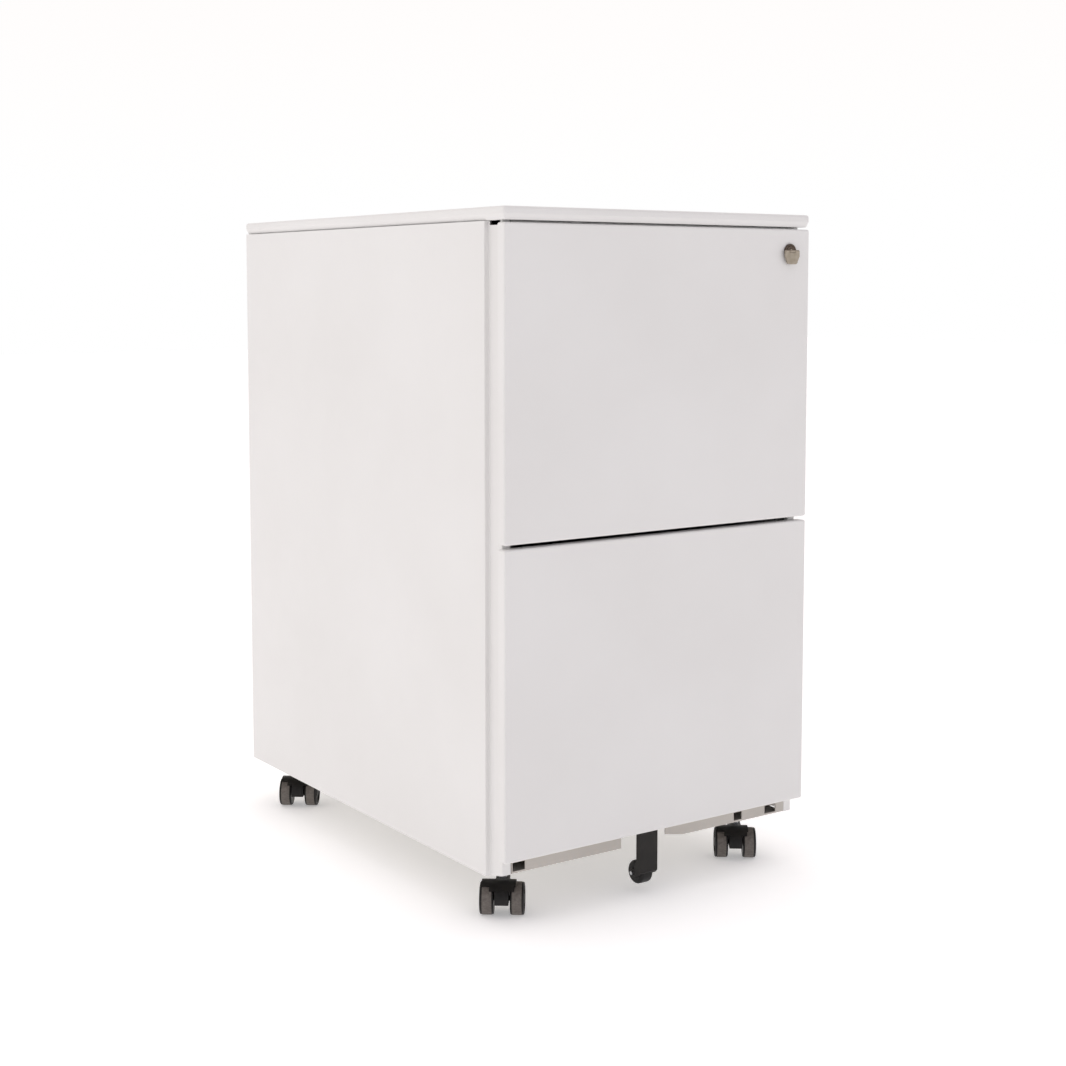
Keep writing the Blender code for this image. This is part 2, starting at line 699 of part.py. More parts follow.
def build_key(cylinder):
    """The blade sits in the plug, and the neck outside it carries the hinge of the bow."""
    half, rise, middle = BLADE_HALF, BLADE_RISE, (NECK_FACE + KEY_PROUD) / 2
    blade = box_mesh("key_shank", (-half, -rise, -BLADE_END), (half, rise, middle))
    shank = add_part("key_shank", blade, CHROME, parent=cylinder)
    trim = box_mesh("key_trim", (-NECK_HALF, -2 * rise, NECK_FACE), (NECK_HALF, 2 * rise, KEY_PROUD))
    neck = box_mesh("key_neck", (-NECK_HALF, -NECK_RISE, NECK_FACE), (NECK_HALF, NECK_RISE, KEY_PROUD))
    boolean(shank, "DIFFERENCE", tool(trim, parent=cylinder))
    boolean(shank, "UNION", tool(neck, parent=cylinder))
    build_bow(add_empty("key_hinge", (0, 0, KEY_HINGE_OUT), parent=cylinder))


def build_bow(hinge):
    """The folding bow hangs down from the neck, which sits in the notch at its top."""
    foot = BOW_RISE - BOW_HEIGHT
    top, low, inner = BOW_TOP_WIDTH / 2, BOW_FOOT_WIDTH / 2, NECK_HALF + GAP
    right = [(inner, -BOW_NOTCH), (inner, BOW_RISE), (top - BOW_SHOULDER, BOW_RISE)]
    right += [(top, BOW_RISE - BOW_SHOULDER), (top, BOW_RISE - BOW_STRAIGHT)]
    right += arc((low - BOW_CORNER, foot + BOW_CORNER), BOW_CORNER, 0, -90, 4)
    outline = right + mirrored(-1, reversed(right))
    add_part("key_bow", outline_mesh("key_bow", outline, BOW_THICKNESS), CHROME, parent=hinge)


def build_catch(drawer):
    """A hook on the liner that the raised lock bar holds."""
    base = BAR_BOTTOM + TAB_HEIGHT
    arm_foot, arm_top = base + CATCH_ARM_FOOT, base + CATCH_ARM_TOP
    front, hook_foot = FRONT_THICKNESS + GAP, base + CATCH_HOOK_FOOT
    tip_in, tip_out = CATCH_HOOK
    outline = (
        (front, arm_foot),
        (tip_in, arm_foot),
        (tip_in, hook_foot),
        (tip_out, hook_foot),
        (tip_out, arm_top),
        (front, arm_top),
    )
    data = outline_mesh("lower_lock_catch", outline, CATCH_SHEET)
    add_part("lower_lock_catch", data, ZINC, (CATCH_X, 0, 0), UPRIGHT_YZ, drawer)


def build_lock_bar():
    """A flat bar behind the right jamb that the cam lifts by its lug; its foot has a tab for the catch."""
    left, right = BAR_X
    near, far = depth_y(BAR_Y[0]), depth_y(BAR_Y[1])
    outline = (
        (TAB_REACH, BAR_BOTTOM),
        (right, BAR_BOTTOM),
        (right, BAR_TOP),
        (left, BAR_TOP),
        (left, BAR_BOTTOM + TAB_HEIGHT),
        (TAB_REACH, BAR_BOTTOM + TAB_HEIGHT),
    )
    data = outline_mesh("lock_bar", outline, BAR_Y[1] - BAR_Y[0])
    add_part("lock_bar", data, ZINC, (0, (near + far) / 2, 0), UPRIGHT_XZ)
    lug = box_mesh(
        "lock_bar_lug",
        (LUG_X[0], depth_y(LUG_Y[0]), LUG_BOTTOM),
        (LUG_X[1], depth_y(LUG_Y[1]), LUG_BOTTOM + LUG_HEIGHT),
    )
    add_part("lock_bar_lug", lug, ZINC)
    line = (
        (left - GAP, BAR_Y[0] - GUIDE_DEPTH),
        (left - GAP, BAR_Y[1] + GAP),
        (right + GAP, BAR_Y[1] + GAP),
        (right + GAP, BAR_Y[0] - GUIDE_DEPTH),
    )
    for name, level in zip(("lower_bar_guide", "upper_bar_guide"), GUIDE_LEVELS):
        guide = add_part(name, folded_mesh(name, line, GUIDE_HEIGHT), ZINC, (0, FRONT_Y, level))
        solidify(guide, GUIDE_SHEET, 1.0)


# ---- casters ------------------------------------------------------------------------------------
def hood_block_outline():
    """Side view of the hood's middle, as (y, z), with the swivel axis at y = 0 and the wheels in front."""
    wheel = (-CASTER_TRAIL, WHEEL_RADIUS)
    nose = arc(wheel, COVER_OUTER - GAP, *HOOD_NOSE, 10)
    return [(HOOD_BLOCK_BACK[0], HOOD_TOP), *nose, *HOOD_BLOCK_FOOT, HOOD_BLOCK_BACK]


def cover_outline(span):
    """Side view of a curved cover over the wheels, between two angles."""
    wheel = (-CASTER_TRAIL, WHEEL_RADIUS)
    return arc(wheel, COVER_OUTER, *span, 12) + arc(wheel, COVER_INNER, *reversed(span), 12)


def caster_meshes():
    """The meshes that the four casters share."""
    face = BODY_BOTTOM - GAP
    stem_line = (
        (0, face),
        (STEM_FLANGE_RADIUS, face),
        (STEM_FLANGE_RADIUS, face - STEM_FLANGE),
        (STEM_RADIUS, face - STEM_FLANGE),
        (STEM_RADIUS, STEM_FOOT + STEM_TIP),
        (STEM_RADIUS - STEM_TIP, STEM_FOOT),
        (0, STEM_FOOT),
    )
    radius, width, edge = WHEEL_RADIUS, WHEEL_WIDTH, TREAD_EDGE
    hub, floor = HUB_SHARE * WHEEL_RADIUS, WHEEL_WIDTH - HUB_DISH
    rim = (
        (hub, floor),
        (hub + HUB_DISH, width),
        (radius - edge, width),
        (radius, width - edge),
        (radius, edge / 2),
        (radius - edge / 2, 0),
    )
    axle_end = -WHEEL_GAP - AXLE_ENGAGED
    axle_wheel = ((0, floor), *rim, (AXLE_RADIUS, 0), (AXLE_RADIUS, axle_end), (0, axle_end))
    bored_wheel = ((0, floor), *rim, (AXLE_BORE, 0), (AXLE_BORE, BORE_DEPTH), (0, BORE_DEPTH))
    return {
        "stem": turned_mesh("caster_stem", stem_line),
        "block": outline_mesh("hood_block", hood_block_outline(), 2 * HOOD_BLOCK_HALF),
        "cover": outline_mesh(
            "hood_cover", cover_outline(HOOD_COVER_ARC), HOOD_COVER_LEFT + HOOD_COVER_RIGHT
        ),
        "tabs": outline_mesh("hood_tabs", cover_outline(HOOD_TAB_ARC), 2 * HOOD_TAB_HALF),
        "stem_bore": rod_mesh("stem_bore", STEM_BORE, 2 * STEM_BORE_HALF),
        "axle_bore": rod_mesh("axle_bore", AXLE_BORE, 4 * HOOD_BLOCK_HALF, 16),
        "axle_wheel": turned_mesh("axle_wheel", axle_wheel),
        "bored_wheel": turned_mesh("bored_wheel", bored_wheel),
    }


def build_caster(name, x, y, shapes):
    """One caster about its swivel axis; the frame's -Y is the way the wheels trail."""
    swivel = add_empty(f"{name}_swivel", (x, depth_y(y), 0), (0, 0, -CASTER_HEADING))
    turn(add_part(f"{name}_stem", shapes["stem"], ZINC, parent=swivel))
    hood = add_part(f"{name}_hood", shapes["block"].copy(), BLACK_PLASTIC, (0, 0, 0), UPRIGHT_YZ, swivel)
    wheels = (0, -CASTER_TRAIL, WHEEL_RADIUS)
    across = (0, pi / 2, 0)
    off_centre = (HOOD_COVER_RIGHT - HOOD_COVER_LEFT) / 2
    for shape, shift in (("cover", off_centre), ("tabs", 0)):
        boolean(hood, "UNION", tool(shapes[shape], (shift, 0, 0), UPRIGHT_YZ, swivel))
    stem_hole = (0, 0, STEM_FOOT - GAP + STEM_BORE_HALF)
    boolean(hood, "DIFFERENCE", tool(shapes["stem_bore"], stem_hole, (0, 0, 0), swivel))
    boolean(hood, "DIFFERENCE", tool(shapes["axle_bore"], wheels, across, swivel))
    near, half_gap = CASTER_TRAIL, WHEEL_GAP / 2
    left = add_part(
        f"{name}_left_wheel", shapes["axle_wheel"], GREY_TREAD, (-half_gap, -near, WHEEL_RADIUS),
        (0, -pi / 2, 0), swivel,
    )
    right = add_part(
        f"{name}_right_wheel", shapes["bored_wheel"], GREY_TREAD, (half_gap, -near, WHEEL_RADIUS),
        across, swivel,
    )
    turn(left, WHEEL_STEPS)
    turn(right, WHEEL_STEPS)


def build_casters():
    shapes = caster_meshes()
    for row, y in (("front", FRONT_STEM_Y), ("back", BACK_STEM_Y)):
        for label, side in (("left", -1), ("right", 1)):
            build_caster(f"{row}_{label}", side * STEM_X, y, shapes)


# ---- anti-tip wheel -----------------------------------------------------------------------------
def tip_bracket_outline(flange_top, centre_z):
    """Side view of the bracket, as (y, z): a narrow strip that widens into an ear at the axle."""
    back, chamfer = TIP_FACE + TIP_CHEEK, 2 * TIP_SHEET
    ear = arc((TIP_AXLE_SETBACK, centre_z), TIP_EAR, -110, 125, 14)
    front = [(TIP_FACE, flange_top), (TIP_FACE, TIP_FOOT + chamfer), (TIP_FACE + chamfer, TIP_FOOT)]
    return [*front, *ear, (back, TIP_SHOULDER), (back, flange_top)]


def build_tip_wheel(drawer):
    """A fixed wheel in a folded bracket under the lower drawer, just clear of the ground."""
    centre_z = TIP_WHEEL_CLEARANCE + TIP_WHEEL_RADIUS
    flange_top = FRONT_BOTTOM + LAP - GAP
    wheel = add_empty("tip_wheel_datum", (TIP_X, TIP_AXLE_SETBACK, centre_z), parent=drawer)
    data = outline_mesh("fifth_wheel_bracket", tip_bracket_outline(flange_top, centre_z), 2 * TIP_HALF)
    bracket = add_part("fifth_wheel_bracket", data, BLACK_STEEL, (TIP_X, 0, 0), UPRIGHT_YZ, drawer)
    inside = TIP_HALF - TIP_SHEET
    room = box_mesh(
        "bracket_room",
        (TIP_X - inside, TIP_FACE + TIP_SHEET, 0),
        (TIP_X + inside, NOTCH_DEPTH, flange_top - TIP_SHEET),
    )
    across = (0, pi / 2, 0)
    mouth = tool(rod_mesh("axle_hole", TIP_AXLE_RADIUS + GAP, 4 * TIP_HALF, 16), (0, 0, 0), across, wheel)
    boolean(bracket, "DIFFERENCE", tool(room, parent=drawer), mouth)
    flange = box_mesh(
        "bracket_flange",
        (TIP_X - TIP_HALF, TIP_FACE + GAP, flange_top - TIP_FLANGE_SHEET),
        (TIP_X + TIP_HALF, TIP_FACE + TIP_FLANGE_LENGTH, flange_top),
    )
    boolean(bracket, "UNION", tool(flange, parent=drawer))
    bore, radius, half, edge = TIP_AXLE_RADIUS + GAP, TIP_WHEEL_RADIUS, TIP_WHEEL_HALF, TIP_WHEEL_EDGE
    tread = (
        (bore, half),
        (radius - edge, half),
        (radius, half - edge),
        (radius, edge - half),
        (radius - edge, -half),
        (bore, -half),
    )
    roller = add_part(
        "fifth_wheel", turned_mesh("fifth_wheel", tread, True), GREY_TREAD, (0, 0, 0), across, wheel
    )
    turn(roller)
    pin = rod_mesh("fifth_wheel_axle", TIP_AXLE_RADIUS, 2 * (TIP_HALF + TIP_AXLE_END), 16)
    add_part("fifth_wheel_axle", pin, ZINC, (0, 0, 0), across, wheel)


# ---- assembly -----------------------------------------------------------------------------------
build_carcass()
build_drawers()
build_lock_bar()
build_casters()

for part in PARTS.objects:
    if part.type == "MESH":
        part.data.shade_smooth()
        part.data.set_sharp_from_angle(angle=radians(35))
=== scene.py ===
"""Looks of the mobile steel filing pedestal: bent-sheet panels, lock, slides, casters, materials and light.

Metres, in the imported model's frame: the drawers face -Y, +X is the right-hand side, Z = 0 is the ground.
"""

import json
from math import cos, pi, radians, sin, tan

import bmesh
import bpy
from mathutils import Matrix, Vector

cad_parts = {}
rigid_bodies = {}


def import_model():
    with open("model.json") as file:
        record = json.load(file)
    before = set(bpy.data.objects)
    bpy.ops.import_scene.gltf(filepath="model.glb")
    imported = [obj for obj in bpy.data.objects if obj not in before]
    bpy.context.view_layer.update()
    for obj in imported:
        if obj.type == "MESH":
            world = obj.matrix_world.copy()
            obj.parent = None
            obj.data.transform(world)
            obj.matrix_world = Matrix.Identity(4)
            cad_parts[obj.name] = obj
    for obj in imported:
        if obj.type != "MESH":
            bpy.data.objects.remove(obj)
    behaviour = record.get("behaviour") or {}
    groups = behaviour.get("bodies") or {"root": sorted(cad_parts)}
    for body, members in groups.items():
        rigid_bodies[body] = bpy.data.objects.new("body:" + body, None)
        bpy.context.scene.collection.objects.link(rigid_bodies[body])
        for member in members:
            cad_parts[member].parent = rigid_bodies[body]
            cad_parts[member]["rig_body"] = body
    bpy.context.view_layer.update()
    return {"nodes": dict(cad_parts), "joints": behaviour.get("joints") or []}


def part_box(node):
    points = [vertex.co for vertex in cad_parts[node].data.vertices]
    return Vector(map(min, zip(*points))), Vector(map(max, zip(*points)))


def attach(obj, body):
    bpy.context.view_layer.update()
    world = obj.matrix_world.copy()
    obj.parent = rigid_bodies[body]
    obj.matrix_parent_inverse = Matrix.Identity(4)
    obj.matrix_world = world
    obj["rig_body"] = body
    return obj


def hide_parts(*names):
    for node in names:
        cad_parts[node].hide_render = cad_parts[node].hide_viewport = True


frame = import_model()
NODES = frame["nodes"]
JOINTS = {joint["name"]: joint for joint in frame["joints"]}

# ---- sizes --------------------------------------------------------------------------------------
SHEET = 0.0008
PAN_SHEET = 0.001
BEND = 0.0014
TOP_BEND = 0.0028
FRONT_BEND = 0.0020
# corners of the pans, seen from the front or from above
TOP_CORNER = 0.0034
FRONT_CORNER = 0.0022
PAN_CORNER = 0.0016
# rounding of cut sheet edges, of folded parts and of small parts
CUT_EDGE = 0.00022
FOLD_EDGE = 0.0004
SMALL_EDGE = 0.0003
HOOD_EDGE = 0.0006
TIP_WHEEL_EDGE = 0.0010
MIN_CORNER = 0.0002
WELD = 1e-6
# how far a cutter reaches past what it cuts
OVERCUT = 0.01

CORNERS = ("front_left", "front_right", "back_left", "back_right")
SIDES = (("left", -1), ("right", 1))
FLOORS = ("upper", "lower")

FRONT_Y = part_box("upper_drawer_front")[0].y
TOP_LOW, TOP_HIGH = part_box("top_panel")
PAN_LOW, PAN_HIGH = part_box("bottom_panel")

# finger groove and jamb, measured back from the drawer fronts' face
GROOVE_START = 0.0335
GROOVE_DEPTH = 0.005
GROOVE_LEAN = 0.0005
JAMB_SETBACK = 0.012
JAMB_RETURN = 0.005
JAMB_GAP = 0.0005
SIDE_FLANGE = 0.0195
LAND_WINDOW = 0.0040

# rim of the top panel: upright face, kink, sloping face, foot and the return under it,
# with the kink's and the foot's points as (inward, up) from their corners
TOP_FACE = 0.007
TOP_KINK = ((0.0, 0.0006), (0.0002, -0.0004))
TOP_SLOPE_IN = 0.0025
TOP_FOOT = ((-0.0003, 0.0009), (0.0006, 0.0))
TOP_RETURN = 0.012

# openings of the plinth, in X, and heights above the bottom panel's underside
PLINTH_SLOTS = ((-0.173, -0.1585), (0.1046, 0.1157), (0.1475, 0.163))
SLOT_LEVELS = (0.0022, 0.0107)
NOTCH = (-0.043, 0.038)
NOTCH_SHOULDER = (0.0130, 0.0048)
NOTCH_DEPTH = 0.048
PLINTH_SETBACK = 0.0230

# hole for the lock, and the key's hinge
LOCK_HOLE_INSET = 0.0004
KNUCKLE_RADIUS = 0.0014
KNUCKLE_HALF = 0.0035
KNUCKLE_GAP = 0.0003
KNUCKLE_INSET = 0.0008
KNUCKLE_EDGE = 0.0003
BOW_WEB = 0.0010
BOW_WEB_GAP = 0.00005

# rows of balls in the slides
SLIDE_SHEET = 0.0012
BALL = 0.0009
BALL_FIT = 0.96
BALL_COUNT = 14
BALL_PITCH = 0.009
BALL_START = 0.03

# screws and rivets: head radius, then how far they stand from their part's edges
BACK_SCREW = 0.0032
BACK_SCREW_INSET = (0.011, 0.02)
BACK_SCREW_ROWS = 4
LINER_SCREW = 0.0030
LINER_SCREW_X = 0.12
LINER_SCREW_LEVELS = (0.275, 0.150)
TUB_RIVET = 0.0024
TUB_RIVET_INSET = (0.02, 0.03)
STEM_SCREW = 0.0020
STEM_SCREW_INSET = 0.0028
STEM_SCREW_DROP = 0.0019
STEM_SCREW_TURNS = (20, 140, 260)
BRACKET_RIVET = 0.0022
BRACKET_RIVET_X = 0.006
BRACKET_RIVET_INSET = (0.004, 0.0026)

# caster wheels, measured outwards along the axle from the wheel's inner face
WHEEL_WIDTH = 0.014
WHEEL_INNER = 0.008
TREAD_START = 0.0018
TREAD_INSET = 0.0026
TREAD_FLOOR = 0.74
TREAD_EDGE = 0.0005
WHEEL_BACK = 0.0138
TREAD_SEAT = 0.73
TREAD_SEAT_START = 0.0019
RIM_INSET = 0.0003
RIM_EDGE = 0.0008
RIM_CHAMFER = 0.0007
RIM_SHOULDER = 0.0010
# cap on the outer face, as (share of the radius, level from the back)
CAP = ((0.82, 0.0002), (0.76, -0.0014), (0.36, -0.0020), (0.32, -0.0004), (0.24, 0.0), (0.0, 0.0001))
AXLE_BORE = 0.0028
AXLE_RADIUS = 0.0025
AXLE_REACH = 0.0258
AXLE_EDGE = 0.0004
CAP_BORE_END = 0.0119

# caster stem, as (radius, level): its flange from the flange's own edge and its neck, both down from the
# bottom panel, then the end of its pin, up from its foot
STEM_FLANGE = ((-0.0006, 0.0), (0.0, -0.0006), (0.0, -0.0018), (-0.0008, -0.0024))
STEM_NECK = ((0.0098, -0.0026), (0.0088, -0.0060), (0.0060, -0.0068), (0.0055, -0.0100), (0.0041, -0.0106))
STEM_PIN = ((0.0040, 0.0008), (0.0034, 0.0))

# camera and stage
CAMERA_PLACE = (-1.0618, -1.5818, 0.6105)
CAMERA_YAW = 0.6035
CAMERA_PITCH = 0.0866
SENSOR = 36.0
# focal length and vertical shift, as shares of the sensor's width
CAMERA_LENS = 1.6142
CAMERA_SHIFT = -0.0901
ROOM_FRONT = (0.362, 0.344, 0.400, 1.0)
ROOM_BACK = (1.0, 0.945, 0.925, 1.0)
ROOM_HORIZON = (1.0, 1.0, 1.0, 1.0)
ROOM_DEPTH = (-0.9, 0.1)
ROOM_HEIGHT = (0.05, 0.35)
FLOOR_HALF = 14.0
FLOOR_GLOW = 0.30
LIGHT_TARGET = (0, 0, 0.35)


# ---- material nodes -----------------------------------------------------------------------------
def new_material(name, roughness, metallic=0.0, specular=0.5):
    """A material and its shader. What is even all over sits on the shader's own sockets."""
    material = bpy.data.materials.new(name)
    material.use_nodes = True
    shader = material.node_tree.nodes["Principled BSDF"]
    shader.inputs["Roughness"].default_value = roughness
    shader.inputs["Metallic"].default_value = metallic
    shader.inputs["Specular IOR Level"].default_value = specular
    return material, shader


def node(material, kind, **settings):
    item = material.node_tree.nodes.new(kind)
    for key, value in settings.items():
        if key in item.inputs:
            item.inputs[key].default_value = value
        else:
            setattr(item, key, value)
    return item


def link(material, source, output, target, socket):
    material.node_tree.links.new(source.outputs[output], target.inputs[socket])


def noise(material, scale, detail=2.0, stretch=(1, 1, 1)):
    """Noise in the piece's own coordinates, so that it travels with the piece."""
    place = node(material, "ShaderNodeTexCoord")
    mapping = node(material, "ShaderNodeMapping", Scale=stretch)
    texture = node(material, "ShaderNodeTexNoise", Scale=scale, Detail=detail)
    link(material, place, "Object", mapping, "Vector")
    link(material, mapping, "Vector", texture, "Vector")
    return texture


def ramp(material, source, output, stops):
    """A colour ramp from a list of (position, colour) stops."""
    item = node(material, "ShaderNodeValToRGB")
    while len(item.color_ramp.elements) < len(stops):
        item.color_ramp.elements.new(0.5)
    for element, (position, colour) in zip(item.color_ramp.elements, stops):
        element.position = position
        element.color = (*colour, 1.0)
    link(material, source, output, item, "Fac")
    return item


def vary_roughness(material, shader, texture, low, high):
    """Roughness that follows a noise, whose values are mostly within 0.3 and 0.7."""
    spread = node(material, "ShaderNodeMapRange")
    spread.inputs["From Min"].default_value = 0.3
    spread.inputs["From Max"].default_value = 0.7
    spread.inputs["To Min"].default_value = low
    spread.inputs["To Max"].default_value = high
    link(material, texture, "Fac", spread, "Value")
    link(material, spread, "Result", shader, "Roughness")


def bump(material, shader, layers):
    """Stacks bumps, each (texture, depth in metres)."""
    before = None
    for texture, depth in layers:
        item = node(material, "ShaderNodeBump")
        item.inputs["Strength"].default_value = 1.0
        item.inputs["Distance"].default_value = depth
        link(material, texture, "Fac", item, "Height")
        if before:
            link(material, before, "Normal", item, "Normal")
        before = item
    link(material, before, "Normal", shader, "Normal")


def powder_coat(name, dark, light):
    """Satin powder coat: orange peel about a millimetre across over very slightly uneven sheet."""
    material, shader = new_material(name, roughness=0.46, specular=0.45)
    cloud = noise(material, scale=5.0, detail=3.0)
    tint = ramp(material, cloud, "Fac", ((0.35, dark), (0.65, light)))
    speck = noise(material, scale=2600.0, detail=1.0)
    specks = ramp(material, speck, "Fac", ((0.30, (0.965, 0.965, 0.965)), (0.42, (1.0, 1.0, 1.0))))
    mix = node(material, "ShaderNodeMix", data_type="RGBA", blend_type="MULTIPLY")
    mix.inputs["Factor"].default_value = 1.0
    material.node_tree.links.new(tint.outputs["Color"], mix.inputs["A"])
    material.node_tree.links.new(specks.outputs["Color"], mix.inputs["B"])
    material.node_tree.links.new(mix.outputs["Result"], shader.inputs["Base Color"])
    vary_roughness(material, shader, noise(material, scale=60.0, detail=4.0), low=0.40, high=0.52)
    peel = noise(material, scale=900.0, detail=2.0)
    grain = noise(material, scale=3200.0, detail=1.0)
    wave = noise(material, scale=14.0, detail=1.0)
    bump(material, shader, ((wave, 0.00035), (peel, 0.00003), (grain, 0.000006)))
    return material


def zinc_plate():
    """Bright zinc on drawn steel: fine lines along the depth and faint blue and straw passivation."""
    material, shader = new_material("zinc_plated_steel", roughness=0.3, metallic=1.0)
    patch = noise(material, scale=22.0, detail=4.0)
    stops = ((0.30, (0.50, 0.52, 0.56)), (0.50, (0.60, 0.61, 0.62)), (0.72, (0.66, 0.64, 0.58)))
    tint = ramp(material, patch, "Fac", stops)
    link(material, tint, "Color", shader, "Base Color")
    drawn = noise(material, scale=900.0, detail=3.0, stretch=(1.0, 0.02, 1.0))
    vary_roughness(material, shader, drawn, low=0.22, high=0.40)
    crystals = noise(material, scale=2000.0, detail=2.0)
    bump(material, shader, ((drawn, 0.000012), (crystals, 0.000004)))
    return material


def nickel(name, dark, light, low, high):
    """Polished nickel-chrome with a faint haze of handling marks."""
    material, shader = new_material(name, roughness=0.15, metallic=1.0)
    haze = noise(material, scale=260.0, detail=4.0)
    tint = ramp(material, haze, "Fac", ((0.32, dark), (0.68, light)))
    link(material, tint, "Color", shader, "Base Color")
    marks = noise(material, scale=1500.0, detail=4.0, stretch=(1.0, 1.0, 0.15))
    vary_roughness(material, shader, marks, low, high)
    bump(material, shader, ((marks, 0.000004),))
    return material


def nylon():
    """Black moulded nylon with a spark-eroded texture."""
    material, shader = new_material("black_nylon", roughness=0.42, specular=0.25)
    bloom = noise(material, scale=120.0, detail=4.0)
    tint = ramp(material, bloom, "Fac", ((0.35, (0.0085, 0.0080, 0.0078)), (0.70, (0.0150, 0.0138, 0.0130))))
    link(material, tint, "Color", shader, "Base Color")
    vary_roughness(material, shader, noise(material, scale=420.0, detail=3.0), low=0.34, high=0.50)
    bump(material, shader, ((noise(material, scale=3600.0, detail=2.0), 0.000012),))
    return material


def tread():
    """Warm grey hard tread with fine turning lines and a little floor dust."""
    material, shader = new_material("grey_tread", roughness=0.55, specular=0.4)
    dust = noise(material, scale=380.0, detail=5.0)
    tint = ramp(material, dust, "Fac", ((0.32, (0.112, 0.098, 0.087)), (0.70, (0.168, 0.150, 0.135))))
    link(material, tint, "Color", shader, "Base Color")
    vary_roughness(material, shader, noise(material, scale=700.0, detail=3.0), low=0.48, high=0.66)
    bump(material, shader, ((noise(material, scale=2400.0, detail=3.0), 0.000018),))
    return material


def black_enamel():
    """Black stoving enamel on folded steel, a little glossier than the nylon."""
    material, shader = new_material("black_painted_steel", roughness=0.33, specular=0.25)
    cloud = noise(material, scale=90.0, detail=3.0)
    tint = ramp(material, cloud, "Fac", ((0.30, (0.0100, 0.0085, 0.0075)), (0.70, (0.0150, 0.0130, 0.0115))))
    link(material, tint, "Color", shader, "Base Color")
    vary_roughness(material, shader, noise(material, scale=300.0, detail=3.0), low=0.28, high=0.42)
    bump(material, shader, ((noise(material, scale=1300.0, detail=2.0), 0.000014),))
    return material


def stage_floor():
    """Pale seamless studio floor."""
    material, shader = new_material("studio_floor", roughness=0.9, specular=0.1)
    cloud = noise(material, scale=0.8, detail=2.0)
    tint = ramp(material, cloud, "Fac", ((0.2, (0.93, 0.93, 0.93)), (0.8, (0.96, 0.96, 0.96))))
    link(material, tint, "Color", shader, "Base Color")
    shader.inputs["Emission Color"].default_value = (1.0, 1.0, 1.0, 1.0)
    shader.inputs["Emission Strength"].default_value = FLOOR_GLOW
    return material


WHITE = powder_coat("white_powder_coat", (0.775, 0.768, 0.757), (0.800, 0.795, 0.786))
# Painted shade: a darker, beige copy of the white powder coat for the bottom panel and its plinth, in place
# of the shade under the drawer fronts.
PAINTED_SHADE_WHITE = powder_coat("powder_coat_painted_shade", (0.480, 0.450, 0.412), (0.545, 0.515, 0.475))
ZINC = zinc_plate()
# Painted reflection: the lock's chrome gets a dark brown colour that stands in for the dark brown
# surroundings it reflects.
CHROME_PAINTED_REFLECTION = nickel("nickel_chrome", (0.085, 0.062, 0.048), (0.125, 0.096, 0.078), low=0.12, high=0.24)
KEY_METAL = nickel("key_nickel", (0.330, 0.285, 0.225), (0.410, 0.360, 0.295), low=0.28, high=0.40)
NYLON = nylon()
TREAD = tread()
ENAMEL = black_enamel()


# ---- mesh helpers -------------------------------------------------------------------------------
def new_object(name, data, matrix=None):
    obj = bpy.data.objects.new(name, data)
    bpy.context.scene.collection.objects.link(obj)
    if matrix:
        obj.matrix_world = matrix
    return obj


def mesh_of(name, verts, faces, collapse=False):
    """A mesh with welded corners and outward faces. Collapse takes out faces that have no width."""
    data = bpy.data.meshes.new(name)
    data.from_pydata([tuple(v) for v in verts], [], faces)
    bm = bmesh.new()
    bm.from_mesh(data)
    bmesh.ops.remove_doubles(bm, verts=bm.verts, dist=WELD)
    if collapse:
        bmesh.ops.dissolve_degenerate(bm, edges=bm.edges, dist=WELD / 10)
    bmesh.ops.recalc_face_normals(bm, faces=bm.faces)
    bm.to_mesh(data)
    bm.free()
    return data


def soften(obj, width, steps=2, angle=50):
    """Rounds the edges that are sharper than the angle."""
    edge = obj.modifiers.new("edges", "BEVEL")
    edge.width = width
    edge.segments = steps
    edge.limit_method = "ANGLE"
    edge.angle_limit = radians(angle)
    return obj


def thicken(obj, thickness):
    """Gives a surface its sheet's thickness, inwards."""
    shell = obj.modifiers.new("sheet", "SOLIDIFY")
    shell.thickness = thickness
    shell.offset = -1.0
    shell.use_even_offset = True
    return obj


def shade(obj, angle=35):
    """Smooth shading that stays sharp at edges over the angle."""
    obj.data.shade_smooth()
    obj.data.set_sharp_from_angle(angle=radians(angle))
    weights = obj.modifiers.new("normals", "WEIGHTED_NORMAL")
    weights.keep_sharp = True
    return obj


def bake(obj):
    """Applies the piece's modifiers."""
    bpy.context.view_layer.update()
    evaluated = obj.evaluated_get(bpy.context.evaluated_depsgraph_get())
    data = bpy.data.meshes.new_from_object(evaluated)
    obj.modifiers.clear()
    obj.data = data
    return obj


def carve(obj, cutters):
    """Cuts meshes, given in the piece's own coordinates, out of the piece."""
    tools = []
    for data in cutters:
        cutter = new_object("cutter", data, obj.matrix_world.copy())
        modifier = obj.modifiers.new("cut", "BOOLEAN")
        modifier.operation = "DIFFERENCE"
        modifier.solver = "EXACT"
        modifier.object = cutter
        tools.append(cutter)
    bake(obj)
    for cutter in tools:
        bpy.data.objects.remove(cutter)
    return obj


def piece(obj, material, body, *replaced):
    """Gives a finished piece its material and its body, and hides the CAD nodes that it stands for."""
    obj.data.materials.clear()
    obj.data.materials.append(material)
    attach(obj, body)
    if replaced:
        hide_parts(*replaced)
    return obj


def block(low, high):
    """A box mesh used as a cutter."""
    (x0, y0, z0), (x1, y1, z1) = low, high
    verts = [(x, y, z) for z in (z0, z1) for y in (y0, y1) for x in (x0, x1)]
    faces = [(0, 2, 3, 1), (4, 5, 7, 6), (0, 1, 5, 4), (2, 6, 7, 3), (0, 4, 6, 2), (1, 3, 7, 5)]
    return mesh_of("block", verts, faces)


